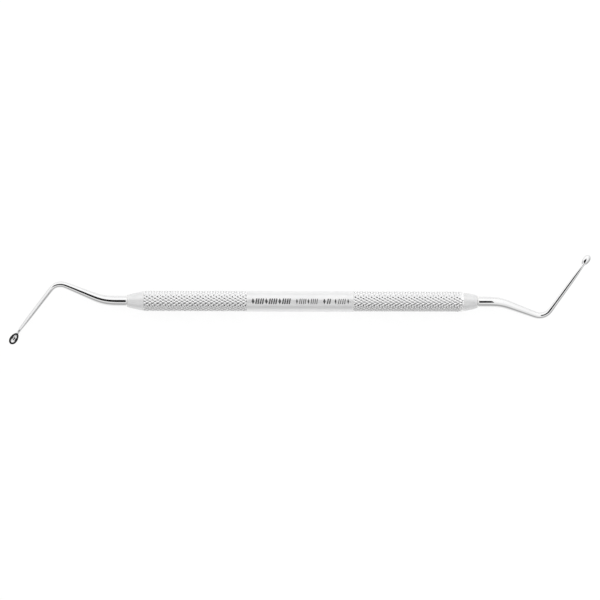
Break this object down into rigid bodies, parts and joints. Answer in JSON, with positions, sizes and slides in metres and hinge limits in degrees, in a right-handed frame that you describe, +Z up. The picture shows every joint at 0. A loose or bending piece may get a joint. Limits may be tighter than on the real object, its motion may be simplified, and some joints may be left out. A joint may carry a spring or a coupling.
{
  "type": "dental spoon excavator",
  "caption": "Double-ended hand instrument: knurled round steel handle with a bent, tapering shank and a small oval spoon brazed into each nose.",
  "frame": {"origin": "on the table, under the middle of the handle's lowest line", "axes": "+X along the handle towards the end with the lifted spoon, +Y across the handle towards the side that spoon is on, +Z up from the table"},
  "size_m": [0.1745, 0.0274, 0.0065],
  "materials": {
    "satin_steel": "satin stainless steel, finely brushed round the bar",
    "polished_steel": "polished stainless steel",
    "silver_braze": "wiped silver braze"
  },
  "bodies": {
    "root": {"handle": "satin_steel", "working_end_left": "polished_steel", "working_end_right": "polished_steel", "braze_fillet_left": "silver_braze", "braze_fillet_right": "silver_braze"}
  },
  "joints": []
}
